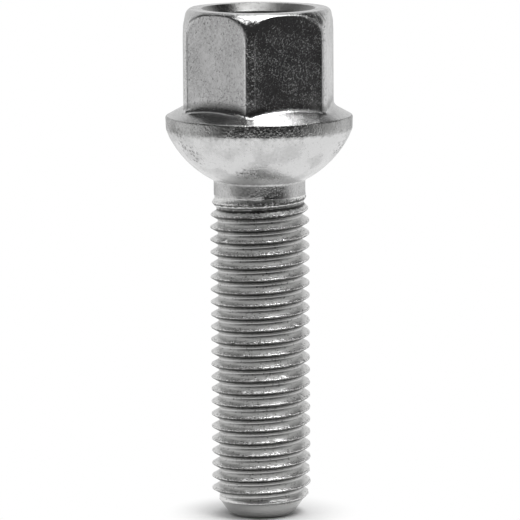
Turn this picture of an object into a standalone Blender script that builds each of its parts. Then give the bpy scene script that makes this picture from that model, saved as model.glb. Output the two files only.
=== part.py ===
"""Wheel bolt with a ball seat, an M12 x 1.5 rolled thread and a hexagon head with a recess in its top.

The bolt is one cold-formed piece. It stands on the flat end of its thread with its head up.
The origin is the middle of that end face and +Z runs along the bolt.
Two of the six wrench flats face +X and -X.
"""

import math

import bmesh
import bpy
from mathutils import Vector

# Driving dimensions, in metres and degrees.

# Point: the flat end face, and the cone where the thread fades in. The shoulder rounds the cone
# into the blank's full diameter over this length on each side.
POINT_FACE_DIAMETER = 0.0067
POINT_EDGE_ROUNDING = 0.0008
POINT_CONE_ANGLE = 35.0
POINT_SHOULDER = 0.0008

# Thread: ISO metric, right hand, rolled, so its profile follows from the pitch.
THREAD_DIAMETER = 0.0118
THREAD_PITCH = 0.0015
THREAD_LENGTH = 0.0386
RUN_OUT_LENGTH = 0.0030
CREST_HEIGHT_AT_X = 0.00088

# Plain shank between the thread and the ball seat. The thread is rolled into the same diameter.
SHANK_DIAMETER = 0.01088
SHANK_FILLET = 0.0004
LENGTH_TO_SEAT = 0.0403

# Ball seat and the collar above it. The seat runs out to the collar's edge. Where the collar is
# wider than the ball lets it run, the seat ends at this angle below the ball's widest circle.
SEAT_RADIUS = 0.0120
SEAT_END_ANGLE = 22.0
COLLAR_DIAMETER = 0.0222
COLLAR_LAND = 0.0015
COLLAR_EDGE_ROUNDING = 0.0002
COLLAR_CONE_ANGLE = 28.5

# Hexagon head.
OVERALL_LENGTH = 0.0607
ACROSS_FLATS = 0.0169
CORNER_ROUNDING = 0.0010
TOP_FACE_DIAMETER = 0.0162
TOP_EDGE_ROUNDING = 0.0009
TOP_CHAMFER_ANGLE = 42.0

# Recess in the top of the head.
RECESS_DIAMETER = 0.0118
RECESS_LIP_ROUNDING = 0.0008
RECESS_DEPTH = 0.0055
RECESS_WALL_TAPER = 8.0
RECESS_FLOOR_ROUNDING = 0.0015

# Fineness of the faceted form.
THREAD_STEPS_PER_TURN = 36
HEAD_STEPS_PER_TURN = 60
SEAT_ARC_STEPS = 9
ROUNDING_STEPS = 3
CORNER_STEPS = 3

# Shape of the ISO metric thread, as shares of its pitch.
SHARP_THREAD_HEIGHT = math.sqrt(3.0) / 2.0
CREST_FLAT = 1.0 / 8.0
ROOT_FLAT = 1.0 / 6.0
THREAD_DEPTH = 17.0 / 24.0 * SHARP_THREAD_HEIGHT

# What the hidden ends of the joined forms need: how far the collar reaches in under the hexagon,
# as a share of the flats' distance from the axis, and how far the turned form reaches out past it.
COLLAR_CORE = 0.8
TURNED_OUTSIDE = 1.4

SHARP_EDGE_ANGLE = 25.0
FLATS = 6
AXIS = Vector((0.0, 0.0, 1.0))
CENTRE = Vector((0.0, 0.0, 0.0))
WELD = 1e-6


def tan_degrees(angle):
    return math.tan(math.radians(angle))


def arc(centre, radius, start, end, steps):
    """Points (radius, height) on an arc, from one angle to another, both ends included."""
    points = []
    for step in range(steps + 1):
        angle = math.radians(start + (end - start) * step / steps)
        points.append((centre[0] + radius * math.cos(angle), centre[1] + radius * math.sin(angle)))
    return points


def seat_centre_height():
    """Height of the ball's centre: the ball meets the shank at LENGTH_TO_SEAT."""
    return LENGTH_TO_SEAT + math.sqrt(SEAT_RADIUS ** 2 - (SHANK_DIAMETER / 2) ** 2)


def seat_end_radius():
    """Distance from the axis at which the ball seat ends and the collar begins."""
    return min(COLLAR_DIAMETER / 2, SEAT_RADIUS * math.cos(math.radians(SEAT_END_ANGLE)))


def collar_bottom_height():
    return seat_centre_height() - math.sqrt(SEAT_RADIUS ** 2 - seat_end_radius() ** 2)


def point_profile():
    """From the cone's lower part down round the edge to the flat end face."""
    centre = (POINT_FACE_DIAMETER / 2, POINT_EDGE_ROUNDING)
    return arc(centre, POINT_EDGE_ROUNDING, -POINT_CONE_ANGLE, -90.0, ROUNDING_STEPS)


def blank_radius(height):
    """Radius, before rolling, of the point's cone, its rounded shoulder or the shank."""
    shank = SHANK_DIAMETER / 2
    cone_radius, cone_height = point_profile()[0]
    corner = cone_height + (shank - cone_radius) / tan_degrees(POINT_CONE_ANGLE)
    shoulder_end = corner + POINT_SHOULDER
    shoulder_start = corner - POINT_SHOULDER * math.cos(math.radians(POINT_CONE_ANGLE))
    if height >= shoulder_end:
        return shank
    if height <= shoulder_start:
        return cone_radius + (height - cone_height) * tan_degrees(POINT_CONE_ANGLE)
    rounding = POINT_SHOULDER / tan_degrees(POINT_CONE_ANGLE / 2)
    return shank - rounding + math.sqrt(rounding ** 2 - (shoulder_end - height) ** 2)


def point_top_height():
    """A cut through the plain part of the cone, just above the rounded edge."""
    return point_profile()[0][1] + POINT_EDGE_ROUNDING / 2


def root_radius():
    return THREAD_DIAMETER / 2 - THREAD_DEPTH * THREAD_PITCH


def rolled_share(height):
    """How fully the thread is formed: 1 along the thread, down to 0 on the shank and on the cone.

    Rolling presses the roots in and raises the crests by as much, so where the blank narrows
    towards the roots' radius the crests come down with it.
    """
    root = root_radius()
    run_out = (THREAD_LENGTH - height) / RUN_OUT_LENGTH
    bite = (blank_radius(height) - root) / (SHANK_DIAMETER / 2 - root)
    return min(1.0, max(0.0, run_out)) * min(1.0, max(0.0, bite))


def rolled_radius(radius, height):
    """Radius that a point of the full thread's profile takes at a height."""
    return blank_radius(height) + (radius - SHANK_DIAMETER / 2) * rolled_share(height)


def set_radius(vert, radius):
    """Moves a vertex straight out from the axis, or in, to a radius."""
    across = math.hypot(vert.co.x, vert.co.y)
    vert.co.x *= radius / across
    vert.co.y *= radius / across


def thread_tooth():
    """One pitch of the thread's profile: root, crest and the next root, as (radius, height)."""
    crest = THREAD_DIAMETER / 2
    root = root_radius()
    half_crest = CREST_FLAT * THREAD_PITCH / 2
    half_root = ROOT_FLAT * THREAD_PITCH / 2
    half_pitch = THREAD_PITCH / 2
    return [
        (root, half_root - half_pitch),
        (crest, -half_crest),
        (crest, half_crest),
        (root, half_pitch - half_root),
        (root, half_pitch + half_root),
    ]


def sweep_thread(shape):
    """Winds one tooth up the whole thread as a right-hand helix."""
    turns = math.ceil((THREAD_LENGTH - point_top_height()) / THREAD_PITCH) + 2
    first_crest = CREST_HEIGHT_AT_X + THREAD_PITCH * math.floor(
        (point_top_height() - CREST_HEIGHT_AT_X) / THREAD_PITCH
    )
    verts = [shape.verts.new((radius, 0.0, first_crest - THREAD_PITCH + height))
             for radius, height in thread_tooth()]
    edges = [shape.edges.new(pair) for pair in zip(verts, verts[1:])]
    steps = turns * THREAD_STEPS_PER_TURN
    bmesh.ops.spin(
        shape,
        geom=verts + edges,
        cent=CENTRE,
        axis=AXIS,
        dvec=AXIS * THREAD_PITCH / THREAD_STEPS_PER_TURN,
        angle=math.radians(360.0 * turns),
        steps=steps,
    )
    bmesh.ops.remove_doubles(shape, verts=shape.verts, dist=WELD)
    for vert in shape.verts:
        set_radius(vert, rolled_radius(math.hypot(vert.co.x, vert.co.y), vert.co.z))


def cut_level(shape, height, keep_above):
    """Cuts the open thread off level at a height and gives back the edges of the cut."""
    bmesh.ops.bisect_plane(
        shape,
        geom=shape.verts[:] + shape.edges[:] + shape.faces[:],
        dist=WELD,
        plane_co=(0.0, 0.0, height),
        plane_no=AXIS,
        clear_inner=keep_above,
        clear_outer=not keep_above,
    )
    return [edge for edge in shape.edges
            if edge.is_boundary and all(abs(vert.co.z - height) < WELD for vert in edge.verts)]


def turn_on(shape, rim, profile):
    """Carries an open round rim on through the rings of a turned profile and closes the last one."""
    for radius, height in profile:
        grown = bmesh.ops.extrude_edge_only(shape, edges=rim)["geom"]
        rim = [item for item in grown if isinstance(item, bmesh.types.BMEdge)
               and all(vert in grown for vert in item.verts) and item.is_boundary]
        for vert in {vert for edge in rim for vert in edge.verts}:
            set_radius(vert, radius)
            vert.co.z = height
    bmesh.ops.contextual_create(shape, geom=rim)


def shank_fillet():
    """Arc between the shank and the ball, tangent to both."""
    reach = SHANK_DIAMETER / 2 + SHANK_FILLET
    drop = math.sqrt((SEAT_RADIUS + SHANK_FILLET) ** 2 - reach ** 2)
    centre = (reach, seat_centre_height() - drop)
    towards_ball = 180.0 - math.degrees(math.atan2(drop, reach))
    return arc(centre, SHANK_FILLET, 180.0, towards_ball, ROUNDING_STEPS)


def seat_profile():
    """Ball seat, from the fillet's end to the collar."""
    centre = (0.0, seat_centre_height())
    fillet_end = shank_fillet()[-1]
    low = math.degrees(math.atan2(fillet_end[1] - centre[1], fillet_end[0]))
    high = -math.degrees(math.acos(seat_end_radius() / SEAT_RADIUS))
    return arc(centre, SEAT_RADIUS, low, high, SEAT_ARC_STEPS)


def collar_profile():
    """Collar's upright land, its rounded upper edge and the cone, which ends inside the hexagon.

    Where the collar is wider than the ball seat, its flat underside comes first.
    """
    radius = COLLAR_DIAMETER / 2
    bottom = collar_bottom_height()
    top = bottom + COLLAR_LAND
    underside = [(radius, bottom)] if seat_end_radius() < radius else []
    centre = (radius - COLLAR_EDGE_ROUNDING, top - COLLAR_EDGE_ROUNDING)
    rounding = arc(centre, COLLAR_EDGE_ROUNDING, 0.0, 90.0 - COLLAR_CONE_ANGLE, ROUNDING_STEPS)
    cone_start = rounding[-1]
    cone_end_radius = COLLAR_CORE * ACROSS_FLATS / 2
    rise = (cone_start[0] - cone_end_radius) * tan_degrees(COLLAR_CONE_ANGLE)
    return underside + rounding + [(cone_end_radius, cone_start[1] + rise)]


def threaded_shank():
    """Point, thread, shank, ball seat and collar, as one closed mesh."""
    shape = bmesh.new()
    sweep_thread(shape)
    lower_rim = cut_level(shape, point_top_height(), True)
    turn_on(shape, lower_rim, point_profile())
    upper_rim = cut_level(shape, THREAD_LENGTH, False)
    turn_on(shape, upper_rim, shank_fillet() + seat_profile()[1:] + collar_profile())
    bmesh.ops.recalc_face_normals(shape, faces=shape.faces)
    return to_mesh(shape, "threaded_shank")


def hexagon():
    """Six-sided bar with rounded corners, from inside the collar to above the head."""
    bottom = collar_bottom_height() + COLLAR_LAND / 2
    height = OVERALL_LENGTH + CORNER_ROUNDING - bottom
    corner = ACROSS_FLATS / 2 / math.cos(math.pi / FLATS)
    shape = bmesh.new()
    bmesh.ops.create_circle(shape, cap_ends=True, segments=FLATS, radius=corner)
    raised = bmesh.ops.extrude_face_region(shape, geom=shape.faces[:])["geom"]
    raised = [item for item in raised if isinstance(item, bmesh.types.BMVert)]
    bmesh.ops.translate(shape, verts=raised, vec=AXIS * height)
    bmesh.ops.translate(shape, verts=shape.verts, vec=AXIS * bottom)
    upright = [edge for edge in shape.edges if abs(edge.verts[0].co.z - edge.verts[1].co.z) > height / 2]
    bmesh.ops.bevel(
        shape,
        geom=upright,
        offset=CORNER_ROUNDING * tan_degrees(180.0 / FLATS),
        offset_type="OFFSET",
        affect="EDGES",
        segments=CORNER_STEPS,
        profile=0.5,
        material=-1,
    )
    bmesh.ops.recalc_face_normals(shape, faces=shape.faces)
    return to_mesh(shape, "hexagon")


def recess_profile():
    """Lip, tapered wall, rounded corner and flat floor of the recess, from the lip to the axis."""
    lip_centre = (RECESS_DIAMETER / 2 + RECESS_LIP_ROUNDING, OVERALL_LENGTH - RECESS_LIP_ROUNDING)
    lip = arc(lip_centre, RECESS_LIP_ROUNDING, 90.0, 180.0 - RECESS_WALL_TAPER, ROUNDING_STEPS)
    floor = OVERALL_LENGTH - RECESS_DEPTH
    corner_height = floor + RECESS_FLOOR_ROUNDING
    wall_start = lip[-1]
    corner_rise = RECESS_FLOOR_ROUNDING * math.sin(math.radians(RECESS_WALL_TAPER))
    wall_end_height = corner_height - corner_rise
    wall_end_radius = wall_start[0] - (wall_start[1] - wall_end_height) * tan_degrees(RECESS_WALL_TAPER)
    corner_centre = (
        wall_end_radius - RECESS_FLOOR_ROUNDING * math.cos(math.radians(RECESS_WALL_TAPER)),
        corner_height,
    )
    corner = arc(corner_centre, RECESS_FLOOR_ROUNDING, -RECESS_WALL_TAPER, -90.0, ROUNDING_STEPS)
    return lip + corner + [(0.0, floor)]


def turned_head():
    """Turned form that gives the hexagon its conical chamfer, its top face and its recess."""
    bottom = collar_bottom_height()
    outside = TURNED_OUTSIDE * ACROSS_FLATS / 2
    edge_centre = (TOP_FACE_DIAMETER / 2, OVERALL_LENGTH - TOP_EDGE_ROUNDING)
    edge = arc(edge_centre, TOP_EDGE_ROUNDING, 90.0 - TOP_CHAMFER_ANGLE, 90.0, ROUNDING_STEPS)
    chamfer_start = edge[0][1] - (outside - edge[0][0]) * tan_degrees(TOP_CHAMFER_ANGLE)
    profile = [(0.0, bottom), (outside, bottom), (outside, chamfer_start)] + edge + recess_profile()
    shape = bmesh.new()
    verts = [shape.verts.new((radius, 0.0, height)) for radius, height in profile]
    edges = [shape.edges.new(pair) for pair in zip(verts, verts[1:])]
    bmesh.ops.spin(
        shape,
        geom=verts + edges,
        cent=CENTRE,
        axis=AXIS,
        angle=math.radians(360.0),
        steps=HEAD_STEPS_PER_TURN,
        use_merge=True,
    )
    bmesh.ops.remove_doubles(shape, verts=shape.verts, dist=WELD)
    bmesh.ops.recalc_face_normals(shape, faces=shape.faces)
    return to_mesh(shape, "turned_head")


def to_mesh(shape, name):
    """Turns a bmesh into a mesh with smooth round faces and sharp edges."""
    mesh = bpy.data.meshes.new(name)
    shape.to_mesh(mesh)
    shape.free()
    mesh.shade_smooth()
    mesh.set_sharp_from_angle(angle=math.radians(SHARP_EDGE_ANGLE))
    return mesh


def zinc_plated_steel():
    """Bare bright zinc on cold-formed steel."""
    material = bpy.data.materials.new("zinc_plated_steel")
    material.use_nodes = True
    shader = material.node_tree.nodes["Principled BSDF"]
    shader.inputs["Base Color"].default_value = (0.45, 0.45, 0.44, 1.0)
    shader.inputs["Metallic"].default_value = 1.0
    shader.inputs["Roughness"].default_value = 0.36
    return material


def place(name, mesh, material):
    """Adds a mesh to the scene as an object."""
    thing = bpy.data.objects.new(name, mesh)
    mesh.materials.append(material)
    bpy.context.scene.collection.objects.link(thing)
    return thing


def place_guide(name, mesh, material):
    """Adds a mesh that only shapes the bolt and isn't a piece of its own."""
    guide = place(name, mesh, material)
    guide.hide_render = True
    guide.display_type = "WIRE"
    return guide


def combine(thing, name, operation, other):
    """Joins or trims one object by another."""
    step = thing.modifiers.new(name, "BOOLEAN")
    step.operation = operation
    step.object = other
    step.solver = "EXACT"


def wheel_bolt():
    """The whole bolt: the hexagon is trimmed by the turned head and joined to the threaded shank."""
    steel = zinc_plated_steel()
    bolt = place("wheel_bolt", threaded_shank(), steel)
    head = place_guide("head_guide", hexagon(), steel)
    trim = place_guide("turned_head_guide", turned_head(), steel)
    combine(head, "chamfer and recess", "INTERSECT", trim)
    combine(bolt, "head", "UNION", head)
    return bolt


for old in list(bpy.data.objects):
    bpy.data.objects.remove(old, do_unlink=True)

wheel_bolt()
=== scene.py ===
"""Looks of the wheel bolt: bright zinc over cold-formed steel.

The bolt is one piece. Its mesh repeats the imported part's sizes with a rounded thread, rounded edges and
the small marks of forming and handling. Lengths are in metres and angles in degrees.
"""

import math
from functools import partial

import bmesh
import bpy
from mathutils import Matrix, Vector, noise


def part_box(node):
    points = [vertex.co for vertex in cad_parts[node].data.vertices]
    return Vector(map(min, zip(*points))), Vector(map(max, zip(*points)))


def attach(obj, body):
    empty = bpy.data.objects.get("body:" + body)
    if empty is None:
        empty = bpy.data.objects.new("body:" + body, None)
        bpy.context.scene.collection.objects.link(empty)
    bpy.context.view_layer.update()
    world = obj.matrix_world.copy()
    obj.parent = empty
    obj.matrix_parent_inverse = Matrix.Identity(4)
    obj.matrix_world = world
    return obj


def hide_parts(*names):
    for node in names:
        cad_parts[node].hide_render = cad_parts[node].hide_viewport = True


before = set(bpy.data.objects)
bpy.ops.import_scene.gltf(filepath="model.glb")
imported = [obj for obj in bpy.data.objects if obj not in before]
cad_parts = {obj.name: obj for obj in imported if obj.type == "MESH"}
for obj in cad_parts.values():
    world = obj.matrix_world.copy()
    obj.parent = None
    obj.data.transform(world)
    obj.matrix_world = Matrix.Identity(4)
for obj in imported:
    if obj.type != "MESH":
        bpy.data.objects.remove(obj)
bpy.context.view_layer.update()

MM = 0.001
BOLT_LOW, BOLT_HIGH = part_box("wheel_bolt")

# Point: the flat end face and the cone where the thread fades in.
POINT_FACE_RADIUS = 3.17 * MM
POINT_EDGE_ROUNDING = 1.15 * MM
POINT_CONE_ANGLE = 35.0
POINT_SHOULDER = 0.8 * MM

# Thread: ISO metric, right hand, rolled.
THREAD_RADIUS = 5.9 * MM
THREAD_PITCH = 1.5 * MM
THREAD_LENGTH = 38.6 * MM
RUN_OUT_LENGTH = 3.0 * MM
RUN_OUT_SWIFTNESS = 0.65
CREST_HEIGHT_AT_X = 0.88 * MM
PROFILE_TRIANGLE = math.sqrt(3.0) / 2.0 * THREAD_PITCH
THREAD_DEPTH = 17.0 / 24.0 * PROFILE_TRIANGLE
FLANK_ANGLE = 30.0
CREST_ROUNDING = 0.14 * MM
ROOT_ROUNDING = PROFILE_TRIANGLE - THREAD_DEPTH - CREST_ROUNDING
WORN_BAND = 3 * CREST_ROUNDING
RIPPLE_SPACING = 0.55 * MM
RIPPLE_DEPTH = 0.025 * MM
KNOCK_SPACING = 1.3 * MM
KNOCK_RARITY = 0.42
KNOCK_DEPTH = 0.9 * MM

# Shank and ball seat.
SHANK_RADIUS = 5.44 * MM
SHANK_FILLET = 0.4 * MM
LENGTH_TO_SEAT = 40.3 * MM
SEAT_RADIUS = 12.0 * MM

# Collar.
COLLAR_RADIUS = BOLT_HIGH.x
COLLAR_LAND = 1.5 * MM
COLLAR_EDGE_ROUNDING = 0.28 * MM
LAND_EDGE_ROUNDING = 0.75 * MM
LAND_WEAR = 0.09 * MM
LAND_WEAR_SPACING = 0.9 * MM
SECOND_PATTERN = Vector((0.0, 0.0, 6.0))
COLLAR_CONE_ANGLE = 28.5

# Hexagon head.
HEAD_TOP = BOLT_HIGH.z
FLAT_DISTANCE = 8.45 * MM
CORNER_ROUNDING = 1.0 * MM
CORNER_EXTRA_ROUNDING = 1.1 * MM
CORNER_EXTRA_START = 3.2 * MM
CORNER_EXTRA_SPAN = 1.7 * MM
CORNER_RIDGE = 0.03 * MM
CORNER_RIDGE_SPAN = 0.6
CORNER_NEARNESS = 8
FOOT_RISE = 2.0 * MM
FOOT_RISE_AT_CORNER = 0.5 * MM
FOOT_REACH = 0.74 * MM
FOOT_REACH_AT_CORNER = 0.45 * MM
RIM_ROUNDING = 0.45 * MM
RIM_ROUNDING_AT_CORNER = 1.35 * MM
TOP_FACE_RADIUS = 8.1 * MM
TOP_EDGE_ROUNDING = 0.9 * MM
TOP_CHAMFER_ANGLE = 42.0

# Recess in the top of the head.
RECESS_RADIUS = 5.9 * MM
RECESS_LIP_ROUNDING = 0.15 * MM
COUNTERSINK_RADIUS = 6.75 * MM
COUNTERSINK_ANGLE = 47.0
RECESS_DEPTH = 5.5 * MM
RECESS_WALL_TAPER = 8.0
RECESS_FLOOR_ROUNDING = 1.5 * MM

# Fineness of the mesh. The land's rounded lower edge takes the place of the ball seat's last steps.
THREAD_STEPS_PER_TURN = 160
HEAD_STEPS_PER_TURN = 240
SHANK_RIM_HEIGHT = THREAD_LENGTH + THREAD_PITCH / 4
CORNER_SPAN = 5.0
CORNER_STEPS = 20
SEAT_STEPS = 24
SEAT_STEPS_UNDER_LAND = 3
LAND_TOP_STEPS = 6
CONE_STEPS = 10
FOOT_STEPS = 10
FLAT_STEPS = 20
RIM_STEPS = 8
TOP_STEPS = 14
WELD = 0.001 * MM

FLATS = 6
AXIS = Vector((0.0, 0.0, 1.0))

# Places on the ball seat that a wheel or another bolt has rubbed: middle and reach.
RUBBED_PLACES = (
    (Vector((-7.2, -6.5, 44.0)) * MM, 2.3 * MM),
    (Vector((-8.6, -6.2, 46.2)) * MM, 1.8 * MM),
    (Vector((9.9, -2.3, 44.6)) * MM, 2.2 * MM),
    (Vector((-0.5, -7.6, 41.9)) * MM, 1.8 * MM),
)

# Marks along one pitch of the thread, as shares of it, from the middle of a root at 0 to the next at 1.
CREST_PHASE = 0.53
# Where the painted shadow under each crest is darkest.
UNDER_CREST_SHADOW_PHASE = 0.365
RIDGE_PHASE = 0.2
GROOVE_PHASE = 0.9

# How deep the materials' relief is at a height of 1, and where a scratch begins and is deepest in its noise.
RELIEF_DEPTH = 0.025 * MM
SCRATCH_EDGE = 0.64
SCRATCH_MIDDLE = 0.71

# Settings of nodes: a Map Range that eases in and out, and a product.
EASED = {"interpolation_type": "SMOOTHSTEP"}
TIMES = {"operation": "MULTIPLY"}

# Stage. The table's shading fades to plain white between these distances from the axis.
TABLE_RADIUS = 150.0 * MM
SHADOW_START = 3.0 * MM
SHADOW_END = 12.0 * MM
MIRRORED_SHADOW_END = 10.0 * MM

# The white wall: open side in front, between these angles from its middle, and its soft top edge. Behind
# the bolt the wall is higher and a little darker. The last four are cosines, -1 straight behind.
OPEN_SIDE_AZIMUTH = 11.0
OPEN_SIDE_START = 45.0
OPEN_SIDE_END = 95.0
WALL_TOP_START = 10.0
WALL_TOP_END = 26.0
WALL_BACK_RISE = 0.25
WALL_BACK_BRIGHTNESS = 0.78
ROOM_BRIGHTNESS = 0.038
HIGHER_START = -0.3
HIGHER_END = -0.8
DARKER_START = -0.6
DARKER_END = -0.9

# Camera, fitted to the photograph's outline of the bolt.
CAMERA_DISTANCE = 520.0 * MM
CAMERA_HEIGHT = 108.1 * MM
CAMERA_AZIMUTH = 6.3
LOOK_AT_HEIGHT = 30.62 * MM
CAMERA_ROLL = -0.386
CAMERA_LENS = 305.9
SENSOR_WIDTH = 36.0


def tan_degrees(angle):
    return math.tan(math.radians(angle))


def polar(radius, azimuth, height):
    """Point at a radius and azimuth about the bolt's axis."""
    turn = math.radians(azimuth)
    return Vector((radius * math.cos(turn), radius * math.sin(turn), height))


def azimuth_of(point):
    return math.degrees(math.atan2(point.y, point.x))


def arc(centre, radius, start, end, steps):
    """Points (radius, height) on an arc, from one angle to another, both ends included."""
    points = []
    for step in range(steps + 1):
        angle = math.radians(start + (end - start) * step / steps)
        points.append((centre[0] + radius * math.cos(angle), centre[1] + radius * math.sin(angle)))
    return points


def rounded(before, corner, after, rounding, steps):
    """A corner of a profile, rounded tangent to its two sides."""
    back = (Vector(before) - Vector(corner)).normalized()
    on = (Vector(after) - Vector(corner)).normalized()
    half = back.angle(on) / 2.0
    centre = Vector(corner) + (back + on).normalized() * rounding / math.sin(half)
    first = Vector(corner) + back * rounding / math.tan(half) - centre
    last = Vector(corner) + on * rounding / math.tan(half) - centre
    sweep = first.angle_signed(last)
    points = []
    for step in range(steps + 1):
        spoke = first.copy()
        spoke.rotate(Matrix.Rotation(-sweep * step / steps, 2))
        points.append(tuple(centre + spoke))
    return points


# Thread and point

def point_profile():
    """From the cone's lower part down round the edge to the flat end face."""
    centre = (POINT_FACE_RADIUS, POINT_EDGE_ROUNDING)
    return arc(centre, POINT_EDGE_ROUNDING, -POINT_CONE_ANGLE, -90.0, 8)


def blank_radius(height):
    """Radius, before rolling, of the point's cone, its rounded shoulder or the shank."""
    cone_radius, cone_height = point_profile()[0]
    corner = cone_height + (SHANK_RADIUS - cone_radius) / tan_degrees(POINT_CONE_ANGLE)
    shoulder_end = corner + POINT_SHOULDER
    shoulder_start = corner - POINT_SHOULDER * math.cos(math.radians(POINT_CONE_ANGLE))
    if height >= shoulder_end:
        return SHANK_RADIUS
    if height <= shoulder_start:
        return cone_radius + (height - cone_height) * tan_degrees(POINT_CONE_ANGLE)
    rounding = POINT_SHOULDER / tan_degrees(POINT_CONE_ANGLE / 2)
    return SHANK_RADIUS - rounding + math.sqrt(rounding ** 2 - (shoulder_end - height) ** 2)


def point_top_height():
    return point_profile()[0][1] + POINT_EDGE_ROUNDING / 2


def rolled_share(height):
    """How fully the thread is formed: 1 along the thread, down to 0 on the shank and on the cone."""
    root = THREAD_RADIUS - THREAD_DEPTH
    run_out = (THREAD_LENGTH - height) / RUN_OUT_LENGTH
    bite = (blank_radius(height) - root) / (SHANK_RADIUS - root)
    return min(1.0, max(0.0, run_out)) ** RUN_OUT_SWIFTNESS * min(1.0, max(0.0, bite))


def rolled_radius(radius, height):
    return blank_radius(height) + (radius - SHANK_RADIUS) * rolled_share(height)


def thread_tooth():
    """One pitch of the rolled thread's profile, from the middle of a root to the middle of the next."""
    root_centre = THREAD_RADIUS - THREAD_DEPTH + ROOT_ROUNDING
    crest_centre = THREAD_RADIUS - CREST_ROUNDING
    slope = 90.0 - FLANK_ANGLE
    low_root = arc((root_centre, -THREAD_PITCH / 2), ROOT_ROUNDING, 180.0, 180.0 - slope, 3)
    crest = arc((crest_centre, 0.0), CREST_ROUNDING, -slope, slope, 6)
    high_root = arc((root_centre, THREAD_PITCH / 2), ROOT_ROUNDING, 180.0 + slope, 180.0, 3)
    return low_root + crest + high_root


def crest_wear(point):
    """How far the crest is pushed in at a point: fine ripples from rolling and a few knocks."""
    ripple = noise.noise(point / RIPPLE_SPACING) * RIPPLE_DEPTH
    knock = max(0.0, noise.noise(point / KNOCK_SPACING) - KNOCK_RARITY) * KNOCK_DEPTH
    return ripple + knock


def wind_thread(shape):
    """Winds one turn of a right-hand helix and stacks copies of it up the whole thread."""
    below = math.floor((point_top_height() - CREST_HEIGHT_AT_X) / THREAD_PITCH) - 1
    start = CREST_HEIGHT_AT_X + THREAD_PITCH * below
    verts = [shape.verts.new((radius, 0.0, start + height)) for radius, height in thread_tooth()]
    edges = [shape.edges.new(pair) for pair in zip(verts, verts[1:])]
    bmesh.ops.spin(
        shape,
        geom=verts + edges,
        cent=(0.0, 0.0, 0.0),
        axis=AXIS,
        dvec=AXIS * THREAD_PITCH / THREAD_STEPS_PER_TURN,
        angle=math.radians(360.0),
        steps=THREAD_STEPS_PER_TURN,
    )
    first_turn = shape.verts[:] + shape.edges[:] + shape.faces[:]
    for turn in range(1, math.ceil((THREAD_LENGTH - start) / THREAD_PITCH) + 1):
        copied = bmesh.ops.duplicate(shape, geom=first_turn)["geom"]
        copied = [item for item in copied if isinstance(item, bmesh.types.BMVert)]
        bmesh.ops.translate(shape, verts=copied, vec=AXIS * THREAD_PITCH * turn)
    bmesh.ops.remove_doubles(shape, verts=shape.verts, dist=WELD)
    flank_top = THREAD_RADIUS - WORN_BAND
    for vert in shape.verts:
        radius = vert.co.xy.length
        on_crest = max(0.0, (radius - flank_top) / (THREAD_RADIUS - flank_top))
        radius = min(THREAD_RADIUS, radius - on_crest * crest_wear(vert.co))
        vert.co = polar(rolled_radius(radius, vert.co.z), azimuth_of(vert.co), vert.co.z)


def cut_level(shape, height, keep_above):
    """Cuts the open thread off level at a height and gives back the edges of the cut."""
    bmesh.ops.bisect_plane(
        shape,
        geom=shape.verts[:] + shape.edges[:] + shape.faces[:],
        dist=WELD,
        plane_co=(0.0, 0.0, height),
        plane_no=AXIS,
        clear_inner=keep_above,
        clear_outer=not keep_above,
    )
    return [edge for edge in shape.edges
            if edge.is_boundary and all(abs(vert.co.z - height) < WELD for vert in edge.verts)]


def turn_on(shape, rim, rings):
    """Carries a rim on through rings. A ring gives a radius and a height for each azimuth."""
    for ring in rings:
        grown = bmesh.ops.extrude_edge_only(shape, edges=rim)["geom"]
        fresh = set(grown)
        rim = [item for item in grown if isinstance(item, bmesh.types.BMEdge)
               and item.is_boundary and all(vert in fresh for vert in item.verts)]
        for vert in {vert for edge in rim for vert in edge.verts}:
            azimuth = azimuth_of(vert.co)
            radius, height = ring(azimuth)
            vert.co = polar(radius, azimuth, height)
    return rim


def round_ring(radius, height, azimuth):
    return radius, height


def worn_ring(radius, height, azimuth):
    """Part of the land's free edge, which the forging has left uneven."""
    point = polar(radius, azimuth, height) / LAND_WEAR_SPACING
    sunk = LAND_WEAR * (0.5 + 0.5 * noise.noise(point))
    wander = LAND_WEAR * noise.noise(point + SECOND_PATTERN)
    return radius - sunk, height + wander


def close_end(shape, rim):
    """Closes a small round rim at the axis."""
    verts = list({vert for edge in rim for vert in edge.verts})
    bmesh.ops.pointmerge(shape, verts=verts, merge_co=(0.0, 0.0, verts[0].co.z))


# Ball seat and collar

def seat_centre_height():
    return LENGTH_TO_SEAT + math.sqrt(SEAT_RADIUS ** 2 - SHANK_RADIUS ** 2)


def seat_profile():
    """Shank's top, fillet and ball seat, up to the collar's land."""
    reach = SHANK_RADIUS + SHANK_FILLET
    drop = math.sqrt((SEAT_RADIUS + SHANK_FILLET) ** 2 - reach ** 2)
    fillet_centre = (reach, seat_centre_height() - drop)
    towards_ball = 180.0 - math.degrees(math.atan2(drop, reach))
    fillet = arc(fillet_centre, SHANK_FILLET, 180.0, towards_ball, 6)
    ball_centre = (0.0, seat_centre_height())
    low = math.degrees(math.atan2(fillet[-1][1] - ball_centre[1], fillet[-1][0]))
    high = -math.degrees(math.acos(COLLAR_RADIUS / SEAT_RADIUS))
    return fillet + arc(ball_centre, SEAT_RADIUS, low, high, SEAT_STEPS)[1:]


def land_profile():
    """Collar's land with its rounded edges, from the ball seat to the cone."""
    seat = seat_profile()
    low_edge = seat[-1]
    top = (COLLAR_RADIUS, low_edge[1] + COLLAR_LAND)
    cone_rise = (COLLAR_RADIUS - FLAT_DISTANCE) * tan_degrees(COLLAR_CONE_ANGLE)
    cone_point = (FLAT_DISTANCE, top[1] + cone_rise)
    lower = rounded(seat[-1 - SEAT_STEPS_UNDER_LAND], low_edge, top, LAND_EDGE_ROUNDING, 4)
    upper = rounded(low_edge, top, cone_point, COLLAR_EDGE_ROUNDING, LAND_TOP_STEPS - 1)
    return lower + upper


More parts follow.
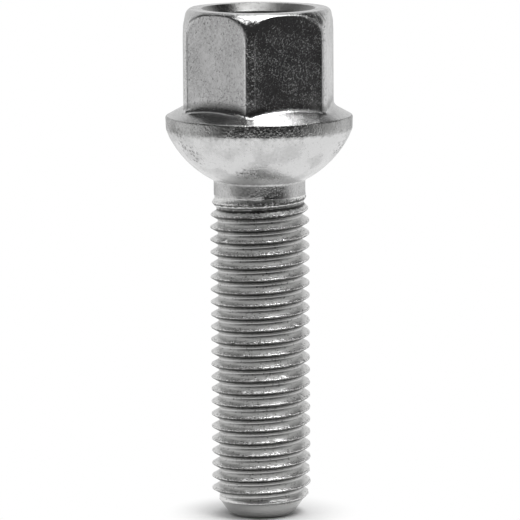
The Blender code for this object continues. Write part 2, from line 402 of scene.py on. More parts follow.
def cone_height(radius):
    """Height of the collar's cone at a radius."""
    edge_radius, edge_height = land_profile()[-1]
    return edge_height + (edge_radius - radius) * tan_degrees(COLLAR_CONE_ANGLE)


# Hexagon head

def corner_rounding(height):
    """Rounding of the hexagon's upright corners, which grows near the head's top."""
    growth = max(0.0, height - (HEAD_TOP - CORNER_EXTRA_START)) / CORNER_EXTRA_SPAN
    return CORNER_ROUNDING + CORNER_EXTRA_ROUNDING * growth ** 2


def hexagon_radius(azimuth, rounding=CORNER_ROUNDING):
    """Distance from the axis to the hexagon's outline, for one rounding of its corners.

    Its corners are rounded, and the die has left a faint ridge on both sides of each.
    """
    sector = 360.0 / FLATS
    off_flat = abs((azimuth + sector / 2) % sector - sector / 2)
    centre = (FLAT_DISTANCE - rounding) / math.cos(math.radians(sector / 2))
    tangent = math.degrees(math.atan2(centre * math.sin(math.radians(sector / 2)), FLAT_DISTANCE))
    ridge = CORNER_RIDGE * math.exp(-((off_flat - tangent) / CORNER_RIDGE_SPAN) ** 2)
    if off_flat <= tangent:
        return FLAT_DISTANCE / math.cos(math.radians(off_flat)) + ridge
    off_corner = math.radians(sector / 2 - off_flat)
    side = centre * math.sin(off_corner)
    return centre * math.cos(off_corner) + math.sqrt(rounding ** 2 - side ** 2) + ridge


def top_height(radius):
    """Height of the head's top at a radius: flat, then round the edge, then down the chamfer."""
    steepest = math.radians(90.0 - TOP_CHAMFER_ANGLE)
    chamfer_radius = TOP_FACE_RADIUS + TOP_EDGE_ROUNDING * math.cos(steepest)
    edge_base = HEAD_TOP - TOP_EDGE_ROUNDING
    if radius <= TOP_FACE_RADIUS:
        return HEAD_TOP
    if radius <= chamfer_radius:
        return edge_base + math.sqrt(TOP_EDGE_ROUNDING ** 2 - (radius - TOP_FACE_RADIUS) ** 2)
    chamfer_top = edge_base + TOP_EDGE_ROUNDING * math.sin(steepest)
    return chamfer_top - (radius - chamfer_radius) * tan_degrees(TOP_CHAMFER_ANGLE)


def near_corner(azimuth):
    """Smoothly from 0 on the flats to 1 at the hexagon's corners."""
    return abs(math.sin(math.radians(azimuth * FLATS / 2))) ** CORNER_NEARNESS


def foot_curve(azimuth):
    """End on the cone, corner and end on the flat of the curve at the hexagon's foot, at an azimuth."""
    radius = hexagon_radius(azimuth)
    corner = Vector((radius, cone_height(radius)))
    slope = math.radians(COLLAR_CONE_ANGLE)
    down_cone = Vector((math.cos(slope), -math.sin(slope)))
    rise = FOOT_RISE + (FOOT_RISE_AT_CORNER - FOOT_RISE) * near_corner(azimuth)
    reach = FOOT_REACH + (FOOT_REACH_AT_CORNER - FOOT_REACH) * near_corner(azimuth)
    return corner + down_cone * reach, corner, corner + Vector((0.0, rise))


def cone_ring(share, azimuth):
    """From the land's edge, at 0, to the curve at the foot of the hexagon, at 1."""
    start = land_profile()[-1][0]
    end = foot_curve(azimuth)[0].x
    radius = start + (end - start) * share
    return radius, cone_height(radius)


def foot_ring(share, azimuth):
    """Round the foot, from the cone to the flat, in a curve that eases out up the flat."""
    low, corner, high = foot_curve(azimuth)
    point = low.lerp(corner, share).lerp(corner.lerp(high, share), share)
    return point.x, point.y


def rim_rounding(azimuth):
    """Size of the rounding between flat and chamfer, which grows towards the corners."""
    return RIM_ROUNDING + (RIM_ROUNDING_AT_CORNER - RIM_ROUNDING) * near_corner(azimuth)


def rim_start(azimuth):
    """Radius and height where the hexagon's upper edge starts to round."""
    height = top_height(hexagon_radius(azimuth)) - rim_rounding(azimuth)
    return hexagon_radius(azimuth, corner_rounding(height)), height


def flat_ring(share, azimuth):
    """Up the hexagon, from its foot to where its upper edge starts to round."""
    foot = foot_curve(azimuth)[2].y
    height = foot + (rim_start(azimuth)[1] - foot) * share
    return hexagon_radius(azimuth, corner_rounding(height)), height


def rim_ring(share, azimuth):
    """Round the hexagon's upper edge, from the flat to the chamfer."""
    radius, height = rim_start(azimuth)
    rounding = rim_rounding(azimuth)
    wall = Vector((radius, height))
    corner = Vector((radius, top_height(radius)))
    inner = Vector((radius - rounding, top_height(radius - rounding)))
    point = wall.lerp(corner, share).lerp(corner.lerp(inner, share), share)
    return point.x, point.y


def top_ring(share, azimuth):
    """Over the chamfer and the top face, to the recess's lip."""
    outer = rim_start(azimuth)[0] - rim_rounding(azimuth)
    radius = outer + (COUNTERSINK_RADIUS + RECESS_LIP_ROUNDING - outer) * share
    return radius, top_height(radius)


def recess_profile():
    """Countersink, tapered wall, rounded corner and floor of the recess."""
    floor = HEAD_TOP - RECESS_DEPTH
    wall_top = HEAD_TOP - (COUNTERSINK_RADIUS - RECESS_RADIUS) * tan_degrees(COUNTERSINK_ANGLE)
    wall_foot = RECESS_RADIUS - (wall_top - floor) * tan_degrees(RECESS_WALL_TAPER)
    lip = (COUNTERSINK_RADIUS, HEAD_TOP)
    wall = (RECESS_RADIUS, wall_top)
    mouth = rounded((TOP_FACE_RADIUS, HEAD_TOP), lip, wall, RECESS_LIP_ROUNDING, 4)
    throat = rounded(mouth[-1], wall, (wall_foot, floor), RECESS_LIP_ROUNDING, 4)
    corner = rounded(throat[-1], (wall_foot, floor), (0.0, floor), RECESS_FLOOR_ROUNDING, 8)
    return mouth + throat + corner + [(corner[-1][0] * share, floor) for share in (0.75, 0.5, 0.25, 0.05)]


def shares(steps):
    return [step / steps for step in range(1, steps + 1)]


def head_rings():
    """Every ring from the shank over the head and down to the middle of the recess's floor."""
    land = land_profile()
    free_edge = len(land) - LAND_TOP_STEPS
    return (
        [partial(round_ring, radius, height) for radius, height in seat_profile()[:-SEAT_STEPS_UNDER_LAND]]
        + [partial(worn_ring, radius, height) for radius, height in land[:free_edge]]
        + [partial(round_ring, radius, height) for radius, height in land[free_edge:]]
        + [partial(cone_ring, share) for share in shares(CONE_STEPS)]
        + [partial(foot_ring, share) for share in shares(FOOT_STEPS)]
        + [partial(flat_ring, share) for share in shares(FLAT_STEPS)]
        + [partial(rim_ring, share) for share in shares(RIM_STEPS)]
        + [partial(top_ring, share) for share in shares(TOP_STEPS)]
        + [partial(round_ring, radius, height) for radius, height in recess_profile()]
    )


def crowded_azimuth(azimuth):
    """Draws evenly spaced azimuths together at the hexagon's corners, which then get more steps."""
    sector = 360.0 / FLATS
    corner = math.floor(azimuth / sector) * sector + sector / 2
    off = azimuth - corner
    even = CORNER_STEPS / 2 * 360.0 / HEAD_STEPS_PER_TURN
    if abs(off) <= even:
        return corner + off * CORNER_SPAN / even
    crowded = CORNER_SPAN + (abs(off) - even) * (sector / 2 - CORNER_SPAN) / (sector / 2 - even)
    return corner + math.copysign(crowded, off)


def to_mesh(shape, name):
    mesh = bpy.data.meshes.new(name)
    shape.to_mesh(mesh)
    shape.free()
    return mesh


def head_mesh():
    """Head, collar and ball seat, open at a round rim on the shank."""
    shape = bmesh.new()
    circle = bmesh.ops.create_circle(shape, segments=HEAD_STEPS_PER_TURN, radius=SHANK_RADIUS)["verts"]
    for vert in circle:
        vert.co = polar(SHANK_RADIUS, crowded_azimuth(azimuth_of(vert.co)), SHANK_RIM_HEIGHT)
    close_end(shape, turn_on(shape, shape.edges[:], head_rings()))
    return to_mesh(shape, "head")


def bolt_mesh():
    """The whole bolt as one closed mesh, with the finishes of head, formed parts and thread by height."""
    shape = bmesh.new()
    wind_thread(shape)
    point_rim = cut_level(shape, point_top_height(), True)
    thread_rim = cut_level(shape, THREAD_LENGTH, False)
    rings = [partial(round_ring, radius, height) for radius, height in point_profile()]
    rings += [partial(round_ring, POINT_FACE_RADIUS * share, 0.0) for share in (0.5, 0.05)]
    close_end(shape, turn_on(shape, point_rim, rings))
    shape.from_mesh(head_mesh())
    head_rim = [edge for edge in shape.edges if edge.is_boundary and edge not in thread_rim]
    bmesh.ops.bridge_loops(shape, edges=thread_rim + head_rim)
    bmesh.ops.recalc_face_normals(shape, faces=shape.faces)
    seat_top = land_profile()[-1][1]
    for face in shape.faces:
        height = face.calc_center_median().z
        face.material_index = (height < seat_top) + (height < THREAD_LENGTH)
    mesh = to_mesh(shape, "wheel_bolt_finish")
    mesh.shade_smooth()
    return mesh


# Materials

def srgb(code):
    """A hex colour as linear red, green, blue and alpha."""
    values = [int(code[place:place + 2], 16) / 255.0 for place in (0, 2, 4)]
    linear = [v / 12.92 if v <= 0.04045 else ((v + 0.055) / 1.055) ** 2.4 for v in values]
    return (*linear, 1.0)


def add_node(tree, kind, settings, inputs):
    """Adds a node, with its settings, and its inputs set to values or linked to other nodes."""
    node = tree.nodes.new("ShaderNode" + kind)
    for name, value in settings.items():
        setattr(node, name, value)
    for name, value in inputs.items():
        if isinstance(value, bpy.types.NodeSocket):
            tree.links.new(value, node.inputs[name])
        else:
            node.inputs[name].default_value = value
    return node


def metal(name):
    """A new metal, with its node tree, its shader and the socket of the place on the bolt."""
    material = bpy.data.materials.new(name)
    material.use_nodes = True
    tree = material.node_tree
    shader = tree.nodes["Principled BSDF"]
    shader.inputs["Metallic"].default_value = 1.0
    return material, tree, shader, add_node(tree, "TexCoord", {}, {}).outputs["Object"]


def around_axis(tree, place):
    """Height, distance from the bolt's axis and azimuth, in radians, of a place on the bolt."""
    axes = add_node(tree, "SeparateXYZ", {}, {0: place})
    level = add_node(tree, "VectorMath", TIMES, {0: place, 1: (1.0, 1.0, 0.0)}).outputs[0]
    reach = add_node(tree, "VectorMath", {"operation": "LENGTH"}, {0: level}).outputs["Value"]
    azimuth = add_node(tree, "Math", {"operation": "ARCTAN2"},
                       {0: axes.outputs["Y"], 1: axes.outputs["X"]}).outputs[0]
    return axes.outputs["Z"], reach, azimuth


def pits(tree, place, spacing, share, size):
    """Scattered irregular pits: 1 in their middle, 0 around them. Only a share of the places have one."""
    bend = add_node(tree, "TexNoise", {}, {"Vector": place, "Scale": 2 / spacing}).outputs["Color"]
    bent = add_node(tree, "VectorMath", {"operation": "MULTIPLY_ADD"},
                    {0: bend, 1: (spacing, spacing, spacing), 2: place}).outputs[0]
    cells = add_node(tree, "TexVoronoi", {}, {"Vector": bent, "Scale": 1 / spacing})
    chosen = add_node(tree, "SeparateColor", {}, {"Color": cells.outputs["Color"]}).outputs[0]
    chosen = add_node(tree, "Math", {"operation": "LESS_THAN"}, {0: chosen, 1: share}).outputs[0]
    shape = add_node(tree, "MapRange", EASED, {
        "Value": cells.outputs["Distance"], "From Min": size, "From Max": 0.0}).outputs["Result"]
    return add_node(tree, "Math", TIMES, {0: shape, 1: chosen}).outputs[0]


def scratches(tree, place, direction, length, width):
    """Short fine scratches that run about one way: 1 in their middle, 0 around them."""
    drawn = add_node(tree, "Mapping", {"vector_type": "TEXTURE"},
                     {"Vector": place, "Rotation": direction, "Scale": (width, width, length)}).outputs[0]
    lines = add_node(tree, "TexNoise", {},
                     {"Vector": drawn, "Scale": 1.0, "Detail": 1.0, "Distortion": 0.6}).outputs[0]
    return add_node(tree, "MapRange", EASED, {
        "Value": lines, "From Min": SCRATCH_EDGE, "From Max": SCRATCH_MIDDLE}).outputs["Result"]


def weighted_sum(tree, parts):
    """Adds up sockets, each times its weight."""
    total = 0.0
    for socket, weight in parts:
        total = add_node(tree, "Math", {"operation": "MULTIPLY_ADD"},
                         {0: socket, 1: weight, 2: total}).outputs[0]
    return total


def coat(tree, shader, colour, layers, roughness, height):
    """Feeds a shader: a colour under layers of other colours, a roughness and a relief.

    A layer is a socket for how much of it covers what is below, and its colour.
    """
    shown = srgb(colour)
    for cover, tint in layers:
        shown = add_node(tree, "Mix", {"data_type": "RGBA"}, {0: cover, 6: shown, 7: srgb(tint)}).outputs[2]
    relief = add_node(tree, "Bump", {}, {"Height": height, "Distance": RELIEF_DEPTH}).outputs[0]
    tree.links.new(shown, shader.inputs["Base Color"])
    tree.links.new(roughness, shader.inputs["Roughness"])
    tree.links.new(relief, shader.inputs["Normal"])


def rubbed(tree, place):
    """1 in the middle of each rubbed place on the ball seat, and 0 away from them."""
    total = 0.0
    for middle, reach in RUBBED_PLACES:
        away = add_node(tree, "VectorMath", {"operation": "DISTANCE"}, {0: place, 1: middle}).outputs["Value"]
        near = add_node(tree, "MapRange", EASED, {
            "Value": away, "From Min": reach, "From Max": reach / 3}).outputs["Result"]
        total = add_node(tree, "Math", {"operation": "ADD"}, {0: near, 1: total}).outputs[0]
    return total


def forged_zinc():
    """Zinc-plated steel, cold-forged: the head.

    The plating is bright, and it keeps the forging's skin: soft swells, fine irregular pits and short
    scratches from handling, which show as light specks in dark reflections. The corners are knocked and
    rougher. The recess is rougher and painted darker, a painted shade, and a band along the foot of each
    flat is painted darker, a painted shade in the corner where the flat meets the collar's cone.
    The pits (0.3 mm), the knocks (0.36 mm) and the scratches (0.15 mm wide) are drawn coarser than the
    real ones, so that they show.
    """
    material, tree, shader, place = metal("zinc_plated_steel_forged")
    grain = add_node(tree, "TexNoise", {}, {
        "Vector": place, "Scale": 1 / (0.35 * MM), "Detail": 3.0, "Roughness": 0.6}).outputs[0]
    swell = add_node(tree, "TexNoise", {}, {
        "Vector": place, "Scale": 1 / (3.2 * MM), "Detail": 2.0}).outputs[0]
    rise, reach, azimuth = around_axis(tree, place)
    in_recess = add_node(tree, "MapRange", EASED, {
        "Value": reach, "From Min": COUNTERSINK_RADIUS + 0.1 * MM,
        "From Max": COUNTERSINK_RADIUS - 0.1 * MM}).outputs["Result"]

    # Height above the collar's cone, made ragged, and the band of painted shade along the foot of the flats.
    up_flat = weighted_sum(tree, [(rise, 1.0), (reach, tan_degrees(COLLAR_CONE_ANGLE)), (grain, 0.5 * MM),
                                  (1.0, -cone_height(0.0) - 0.25 * MM)])
    on_flats = add_node(tree, "MapRange", EASED, {
        "Value": up_flat, "From Min": 0.2 * MM, "From Max": 0.4 * MM}).outputs["Result"]
    # Painted shade: a darker colour in the corner where each flat meets the collar's cone.
    foot = add_node(tree, "MapRange", EASED, {
        "Value": up_flat, "From Min": 1.25 * MM, "From Max": 0.55 * MM, "To Max": 0.6}).outputs["Result"]
    foot = add_node(tree, "Math", TIMES, {0: foot, 1: on_flats}).outputs[0]

    # The upright corners, between the foot and the chamfer, and the knocks along them.
    off_flat = add_node(tree, "Math", {"operation": "PINGPONG"}, {0: azimuth, 1: math.pi / FLATS}).outputs[0]
    on_corner = add_node(tree, "MapRange", EASED, {
        "Value": off_flat, "From Min": math.pi / FLATS - math.radians(4.5),
        "From Max": math.pi / FLATS - math.radians(2.5)}).outputs["Result"]
    on_corner = add_node(tree, "Math", TIMES, {0: on_corner, 1: on_flats}).outputs[0]
    under_chamfer = add_node(tree, "MapRange", EASED, {
        "Value": rise, "From Min": HEAD_TOP - 2.2 * MM, "From Max": HEAD_TOP - 3.0 * MM}).outputs["Result"]
    on_corner = add_node(tree, "Math", TIMES, {0: on_corner, 1: under_chamfer}).outputs[0]
    knocks = pits(tree, place, 0.36 * MM, 0.7, 0.6)
    knocks = add_node(tree, "Math", TIMES, {0: knocks, 1: on_corner}).outputs[0]

    # Pits all over, and scratches where the head has been handled, fewer on the collar's cone.
    holes = pits(tree, place, 0.3 * MM, 0.26, 0.34)
    handled = add_node(tree, "MapRange", EASED, {
        "Value": swell, "From Min": 0.36, "From Max": 0.62, "To Min": 0.3}).outputs["Result"]
    above_cone = add_node(tree, "MapRange", EASED, {
        "Value": up_flat, "From Min": 0.2 * MM, "From Max": 0.4 * MM, "To Min": 0.35}).outputs["Result"]
    handled = add_node(tree, "Math", TIMES, {0: handled, 1: above_cone}).outputs[0]
    one_way = scratches(tree, place, (0.5, 0.3, 0.0), 0.9 * MM, 0.15 * MM)
    other_way = scratches(tree, place, (-0.7, 0.9, 0.4), 0.8 * MM, 0.15 * MM)
    lines = weighted_sum(tree, [(one_way, 1.0), (other_way, 1.0)])
    lines = add_node(tree, "Math", TIMES, {0: lines, 1: handled}).outputs[0]

    height = weighted_sum(tree, [(grain, 0.45), (swell, 2.4), (holes, -0.26), (lines, -0.4), (knocks, -0.7)])
    rough = weighted_sum(tree, [(grain, 0.1), (handled, 0.04), (swell, 0.22), (in_recess, 0.1),
                                (on_corner, 0.02), (1.0, 0.01)])
    dull = weighted_sum(tree, [(holes, 1.0), (lines, 0.6), (grain, 0.9), (swell, 0.3), (1.0, -0.55)])
    # Painted shade: the recess is painted darker.
    dark = add_node(tree, "Math", TIMES, {0: in_recess, 1: 0.9}).outputs[0]
    coat(tree, shader, "c8c8c8", [(dull, "747473"), (dark, "747473"), (foot, "5a5a59")], rough, height)
    return material


def formed_zinc():
    """Zinc-plated steel, cold-formed in a smooth die: shank, ball seat and the collar's land.

    Smoother and a little softer than the head, clouded by the plating bath, with fine pits and some rubbed
    places. The land was squeezed out free between the dies, so its skin is coarser, and the shank's is a
    little coarser too. The pits (0.28 mm), the craters (0.3 mm) and the nicks (0.33 mm) are drawn coarser
    than the real ones, so that they show.
    """
    material, tree, shader, place = metal("zinc_plated_steel_formed")
    grain = add_node(tree, "TexNoise", {}, {
        "Vector": place, "Scale": 1 / (0.3 * MM), "Detail": 3.0, "Roughness": 0.6}).outputs[0]
    cloud = add_node(tree, "TexNoise", {}, {
        "Vector": place, "Scale": 1 / (2.6 * MM), "Detail": 3.0}).outputs[0]

    # Height along the bolt, made ragged by up to 0.7 mm, so that one skin runs unevenly into the next.
    ragged = add_node(tree, "TexNoise", {}, {
        "Vector": place, "Scale": 1 / (0.5 * MM), "Detail": 3.0}).outputs[0]
    rise = add_node(tree, "SeparateXYZ", {}, {0: place}).outputs["Z"]
    rise = weighted_sum(tree, [(rise, 1.0), (ragged, 1.4 * MM), (1.0, -0.7 * MM)])
    land_start = seat_profile()[-1][1]
    on_land = add_node(tree, "MapRange", EASED, {
        "Value": rise, "From Min": land_start - 0.45 * MM,
        "From Max": land_start + 0.35 * MM}).outputs["Result"]
    on_shank = add_node(tree, "MapRange", EASED, {
        "Value": rise, "From Min": LENGTH_TO_SEAT + 0.4 * MM,
        "From Max": LENGTH_TO_SEAT - 0.2 * MM}).outputs["Result"]

    # The coarser skin of the land and the shank.
    coarse = add_node(tree, "TexNoise", {}, {
        "Vector": place, "Scale": 1 / (0.24 * MM), "Detail": 2.0}).outputs[0]
    craters = pits(tree, place, 0.3 * MM, 0.75, 0.55)
    coarse = weighted_sum(tree, [(coarse, 1.6), (craters, -1.0)])
    free_skin = weighted_sum(tree, [(on_land, 1.0), (on_shank, 0.45)])
    coarse = add_node(tree, "Math", TIMES, {0: coarse, 1: free_skin}).outputs[0]

    holes = pits(tree, place, 0.28 * MM, 0.22, 0.4)
    nicks = pits(tree, place, 0.33 * MM, 0.5, 0.75)
    nicks = add_node(tree, "Math", TIMES, {0: nicks, 1: rubbed(tree, place)}).outputs[0]
    height = weighted_sum(tree, [(grain, 0.8), (cloud, 1.6), (holes, -0.45), (coarse, 1.0), (nicks, -2.0)])
    rough = weighted_sum(tree, [(grain, 0.12), (cloud, 0.3), (1.0, 0.06)])
    clouded = add_node(tree, "MapRange", EASED, {
        "Value": cloud, "From Min": 0.4, "From Max": 0.65}).outputs["Result"]
    dull = weighted_sum(tree, [(holes, 0.6), (clouded, 0.3), (on_land, 0.7), (on_shank, 0.5), (grain, 0.6),
                               (1.0, -0.35)])
    coat(tree, shader, "d4d4d4", [(dull, "8d8d8c"), (nicks, "3c3c3b")], rough, height)
    return material


def off_phase(tree, phase, middle):
    """How far a phase of the thread is from a middle, as a share of the pitch."""
    off = add_node(tree, "Math", {"operation": "SUBTRACT"}, {0: phase, 1: middle}).outputs[0]
    return add_node(tree, "Math", {"operation": "ABSOLUTE"}, {0: off}).outputs[0]


def rolled_zinc():
    """Zinc-plated steel, thread-rolled: thread and point.

    The crests are burnished bright and speckled by handling, and a ragged painted shadow runs below each,
    on the lower flank. The roots are less burnished and painted darker, a painted shade, the point is dull,
    and the rolling dies have drawn fine lines along the flanks. The last turn ends in a bright ridge over a
    narrow groove, too small for the mesh: the ridge is in the relief, the groove a line of painted shade.
    The chips along the crests (0.28 mm) and the grime (0.34 mm) are drawn coarser than the real ones, so
    that they show.
    """
    material, tree, shader, place = metal("zinc_plated_steel_rolled")
    grain = add_node(tree, "TexNoise", {}, {
        "Vector": place, "Scale": 1 / (0.22 * MM), "Detail": 3.0, "Roughness": 0.65}).outputs[0]
    cloud = add_node(tree, "TexNoise", {}, {
        "Vector": place, "Scale": 1 / (2.2 * MM), "Detail": 2.0}).outputs[0]
    rise, reach, azimuth = around_axis(tree, place)
    burnished = add_node(tree, "MapRange", EASED, {
        "Value": reach, "From Min": 5.05 * MM, "From Max": 5.75 * MM}).outputs["Result"]
    full = add_node(tree, "MapRange", EASED, {
        "Value": reach, "From Min": 5.0 * MM, "From Max": 5.25 * MM}).outputs["Result"]

    # The run-out, and its last turn.
    run_out = add_node(tree, "MapRange", EASED, {
        "Value": rise, "From Min": THREAD_LENGTH - 4.5 * MM,
        "From Max": THREAD_LENGTH - 1.5 * MM}).outputs["Result"]
    last_turn = add_node(tree, "MapRange", EASED, {
        "Value": rise, "From Min": THREAD_LENGTH - 2.0 * MM,
        "From Max": THREAD_LENGTH - 1.7 * MM}).outputs["Result"]
    before_end = add_node(tree, "MapRange", EASED, {
        "Value": rise, "From Min": THREAD_LENGTH - 0.4 * MM,
        "From Max": THREAD_LENGTH - 0.8 * MM}).outputs["Result"]
    last_turn = add_node(tree, "Math", TIMES, {0: last_turn, 1: before_end}).outputs[0]

    # Phase along one pitch, from root to root, and the same made ragged by chips.
    phase = weighted_sum(tree, [(rise, 1 / THREAD_PITCH), (azimuth, -0.5 / math.pi),
                                (1.0, 0.5 - CREST_HEIGHT_AT_X / THREAD_PITCH)])
    phase = add_node(tree, "Math", {"operation": "FRACT"}, {0: phase}).outputs[0]
    chip = add_node(tree, "TexNoise", {}, {
        "Vector": place, "Scale": 1 / (0.28 * MM), "Detail": 2.0}).outputs[0]
    ragged = weighted_sum(tree, [(chip, 1.0), (1.0, -0.5)])
    ragged_run_out = add_node(tree, "Math", TIMES, {0: ragged, 1: run_out}).outputs[0]
    uneven = weighted_sum(tree, [(phase, 1.0), (ragged, 0.14), (ragged_run_out, 0.15)])

    # Ridge and groove of the last turn, the groove drawn as painted shade; then, on every turn, the root's
    # painted shade, the crest, and the painted shadow under the crest.
    ridge = add_node(tree, "MapRange", EASED, {
        "Value": off_phase(tree, uneven, RIDGE_PHASE), "From Min": 0.28, "From Max": 0.0}).outputs["Result"]
    ridge = add_node(tree, "Math", TIMES, {0: ridge, 1: last_turn}).outputs[0]
    # Painted shade: the last turn's narrow groove, too small for the mesh, is a dark painted line.
    groove_shade = add_node(tree, "MapRange", EASED, {
        "Value": off_phase(tree, uneven, GROOVE_PHASE), "From Min": 0.16, "From Max": 0.07}).outputs["Result"]
    groove_shade = add_node(tree, "Math", TIMES, {0: groove_shade, 1: last_turn}).outputs[0]
    off_crest = off_phase(tree, uneven, CREST_PHASE)
    # Painted shade: a darker colour in the roots of the thread.
    root = add_node(tree, "MapRange", EASED, {
        "Value": off_crest, "From Min": 0.3, "From Max": 0.42, "To Max": 0.6}).outputs["Result"]
    crest = add_node(tree, "MapRange", EASED, {
        "Value": off_crest, "From Min": 0.18, "From Max": 0.08}).outputs["Result"]
    crest = add_node(tree, "Math", TIMES, {0: crest, 1: full}).outputs[0]
    # Painted shadow: a dark band under each crest, where the lower flank is in shade.
    off_under_crest_shadow = weighted_sum(tree, [(off_phase(tree, uneven, UNDER_CREST_SHADOW_PHASE), 1.0), (last_turn, 0.06)])
    under_crest_shadow = add_node(tree, "MapRange", EASED, {
        "Value": off_under_crest_shadow, "From Min": 0.18, "From Max": 0.085, "To Max": 0.95}).outputs["Result"]
    under_crest_shadow = add_node(tree, "Math", TIMES, {0: under_crest_shadow, 1: full}).outputs[0]

    # Lines drawn by the dies, specks and flecks on the crests, and grime all over.
    drawn = add_node(tree, "TexNoise", {"noise_dimensions": "1D"},
                     {"W": phase, "Scale": 9.0, "Detail": 2.0}).outputs[0]
    specks = add_node(tree, "Math", TIMES, {0: ragged, 1: crest}).outputs[0]
    flecks = add_node(tree, "MapRange", EASED, {
        "Value": grain, "From Min": 0.5, "From Max": 0.66}).outputs["Result"]
    flecks = add_node(tree, "Math", TIMES, {0: flecks, 1: crest}).outputs[0]
    grime = pits(tree, place, 0.34 * MM, 0.35, 0.46)
    tip = add_node(tree, "MapRange", EASED, {
        "Value": rise, "From Min": 2.4 * MM, "From Max": 1.6 * MM}).outputs["Result"]

    height = weighted_sum(tree, [(grain, 0.8), (drawn, 1.0), (cloud, 1.2), (specks, 3.0), (ragged_run_out, 2.0),
                                 (ridge, 6.5)])
    rough = weighted_sum(tree, [(crest, -0.1), (tip, -0.15), (grain, 0.12), (1.0, 0.32)])
    dull = weighted_sum(tree, [(burnished, -0.95), (drawn, 0.5), (grain, 0.8), (cloud, 0.4), (1.0, 0.15)])
    # Painted shade: the layers for the roots, for the band under each crest and for the last turn's groove.
    layers = [(dull, "e4e4e3"), (root, "b4b4b3"), (crest, "f0f0ef"), (flecks, "a0a09f"), (under_crest_shadow, "444443"),
              (groove_shade, "4c4c4b"), (grime, "626261"), (tip, "c0c0bf")]
    coat(tree, shader, "f0f0ef", layers, rough, height)
    return material


# Stage, lights and camera

def floor():
    """Pale round table top. Away from the bolt's foot it shows the camera and the metal plain white."""
    shape = bmesh.new()
    bmesh.ops.create_circle(shape, cap_ends=True, segments=96, radius=TABLE_RADIUS)
    thing = bpy.data.objects.new("floor", to_mesh(shape, "floor"))
    bpy.context.scene.collection.objects.link(thing)
    material = bpy.data.materials.new("pale_table")
    material.use_nodes = True
    tree = material.node_tree
    paint = tree.nodes["Principled BSDF"]
    paint.inputs["Base Color"].default_value = srgb("f2f2f2")
    paint.inputs["Roughness"].default_value = 0.9
    place = add_node(tree, "TexCoord", {}, {}).outputs["Object"]
    away = add_node(tree, "VectorMath", {"operation": "LENGTH"}, {0: place}).outputs["Value"]
    seen = add_node(tree, "MapRange", EASED, {
        "Value": away, "From Min": SHADOW_START, "From Max": SHADOW_END}).outputs["Result"]
    mirrored = add_node(tree, "MapRange", EASED, {
        "Value": away, "From Min": SHADOW_START, "From Max": MIRRORED_SHADOW_END}).outputs["Result"]
    path = add_node(tree, "LightPath", {}, {})
    share = weighted_sum(tree, [(seen, path.outputs["Is Camera Ray"]),
                                (mirrored, path.outputs["Is Glossy Ray"])])
    white = add_node(tree, "Emission", {}, {"Color": (1.0, 1.0, 1.0, 1.0), "Strength": 1.0}).outputs[0]
    mixed = add_node(tree, "MixShader", {}, {0: share, 1: paint.outputs[0], 2: white}).outputs[0]
    tree.links.new(mixed, tree.nodes["Material Output"].inputs["Surface"])
    thing.data.materials.append(material)


def light_panel(name, azimuth, elevation, distance, width, height, brightness):
    """A soft panel that faces the bolt. Azimuth 0 is in front of the bolt and 90 to its right.

    A brightness of 1 looks white.
    """
    panel = bpy.data.lights.new(name, "AREA")
    panel.shape = "RECTANGLE"
    panel.size = width
    panel.size_y = height
    panel.energy = brightness * math.pi * width * height
    lamp = bpy.data.objects.new(name, panel)
    bpy.context.scene.collection.objects.link(lamp)
    lamp.visible_camera = False
    out = polar(math.cos(math.radians(elevation)), azimuth - 90.0, math.sin(math.radians(elevation)))
    lamp.location = Vector((0.0, 0.0, HEAD_TOP)) + out * distance
    lamp.rotation_euler = out.to_track_quat("Z", "Y").to_euler()


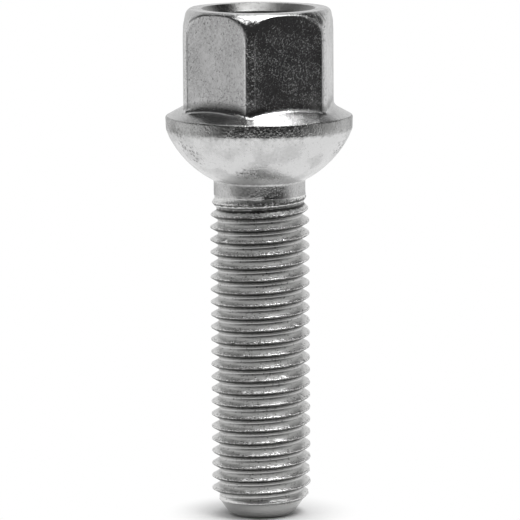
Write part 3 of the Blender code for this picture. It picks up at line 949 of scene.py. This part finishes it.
def studio():
    """A dark room with a white wall that runs round the table from behind and ends short of the camera.

    The camera itself sees plain white everywhere.
    """
    world = bpy.data.worlds.new("studio")
    bpy.context.scene.world = world
    world.use_nodes = True
    tree = world.node_tree
    room = tree.nodes["Background"]
    direction = add_node(tree, "TexCoord", {}, {}).outputs["Generated"]
    level = add_node(tree, "VectorMath", TIMES, {0: direction, 1: (1.0, 1.0, 0.0)}).outputs[0]
    level = add_node(tree, "VectorMath", {"operation": "NORMALIZE"}, {0: level}).outputs[0]
    front = polar(1.0, OPEN_SIDE_AZIMUTH - 90.0, 0.0)
    facing = add_node(tree, "VectorMath", {"operation": "DOT_PRODUCT"}, {0: level, 1: front}).outputs["Value"]
    round_wall = add_node(tree, "MapRange", EASED, {
        "Value": facing, "From Min": math.cos(math.radians(OPEN_SIDE_END)),
        "From Max": math.cos(math.radians(OPEN_SIDE_START)), "To Min": 1.0, "To Max": 0.0}).outputs["Result"]
    higher = add_node(tree, "MapRange", EASED, {
        "Value": facing, "From Min": HIGHER_START, "From Max": HIGHER_END}).outputs["Result"]
    rise = add_node(tree, "SeparateXYZ", {}, {0: direction}).outputs["Z"]
    rise = weighted_sum(tree, [(rise, 1.0), (higher, -WALL_BACK_RISE)])
    up_wall = add_node(tree, "MapRange", EASED, {
        "Value": rise, "From Min": math.sin(math.radians(WALL_TOP_START)),
        "From Max": math.sin(math.radians(WALL_TOP_END)), "To Min": 1.0, "To Max": 0.0}).outputs["Result"]
    back = add_node(tree, "MapRange", EASED, {
        "Value": facing, "From Min": DARKER_START, "From Max": DARKER_END,
        "To Min": 1.0, "To Max": WALL_BACK_BRIGHTNESS}).outputs["Result"]
    wall = add_node(tree, "Math", TIMES, {0: round_wall, 1: up_wall}).outputs[0]
    wall = add_node(tree, "Math", TIMES, {0: wall, 1: back}).outputs[0]
    shade = add_node(tree, "MapRange", {}, {
        "Value": wall, "To Min": ROOM_BRIGHTNESS, "To Max": 1.0}).outputs["Result"]
    tree.links.new(shade, room.inputs["Strength"])
    room.inputs["Color"].default_value = (1.0, 1.0, 1.0, 1.0)
    backdrop = add_node(tree, "Background", {}, {"Color": (1.0, 1.0, 1.0, 1.0), "Strength": 1.0}).outputs[0]
    seen = add_node(tree, "LightPath", {}, {}).outputs["Is Camera Ray"]
    mixed = add_node(tree, "MixShader", {}, {0: seen, 1: room.outputs[0], 2: backdrop}).outputs[0]
    tree.links.new(mixed, tree.nodes["World Output"].inputs["Surface"])
    light_panel("softbox", 52.0, 77.0, 1.0, 0.62, 0.9, 3.4)
    light_panel("key_panel", 48.0, 60.0, 0.95, 0.28, 0.28, 8.0)
    light_panel("left_fill_panel", -40.0, 58.0, 1.0, 0.3, 0.3, 2.6)
    light_panel("low_right_panel", 76.0, 44.0, 1.0, 0.5, 0.5, 0.4)
    light_panel("left_back_panel", -130.0, 50.0, 1.0, 0.6, 0.6, 0.42)
    light_panel("back_panel", 180.0, 62.0, 1.0, 0.6, 0.5, 1.15)


def camera():
    lens = bpy.data.cameras.new("camera")
    lens.lens = CAMERA_LENS
    lens.sensor_width = SENSOR_WIDTH
    lens.clip_start = 10 * MM
    thing = bpy.data.objects.new("camera", lens)
    bpy.context.scene.collection.objects.link(thing)
    thing.location = polar(CAMERA_DISTANCE, CAMERA_AZIMUTH - 90.0, CAMERA_HEIGHT)
    away = thing.location - Vector((0.0, 0.0, LOOK_AT_HEIGHT))
    facing = away.to_track_quat("Z", "Y")
    facing.rotate(Matrix.Rotation(math.radians(CAMERA_ROLL), 3, away))
    thing.rotation_euler = facing.to_euler()
    bpy.context.scene.camera = thing


bolt = bpy.data.objects.new("wheel_bolt_finish", bolt_mesh())
for finish in (forged_zinc(), formed_zinc(), rolled_zinc()):
    bolt.data.materials.append(finish)
bpy.context.scene.collection.objects.link(bolt)
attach(bolt, "root")
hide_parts("wheel_bolt")

floor()
studio()
camera()
bpy.context.scene.view_settings.view_transform = "Standard"
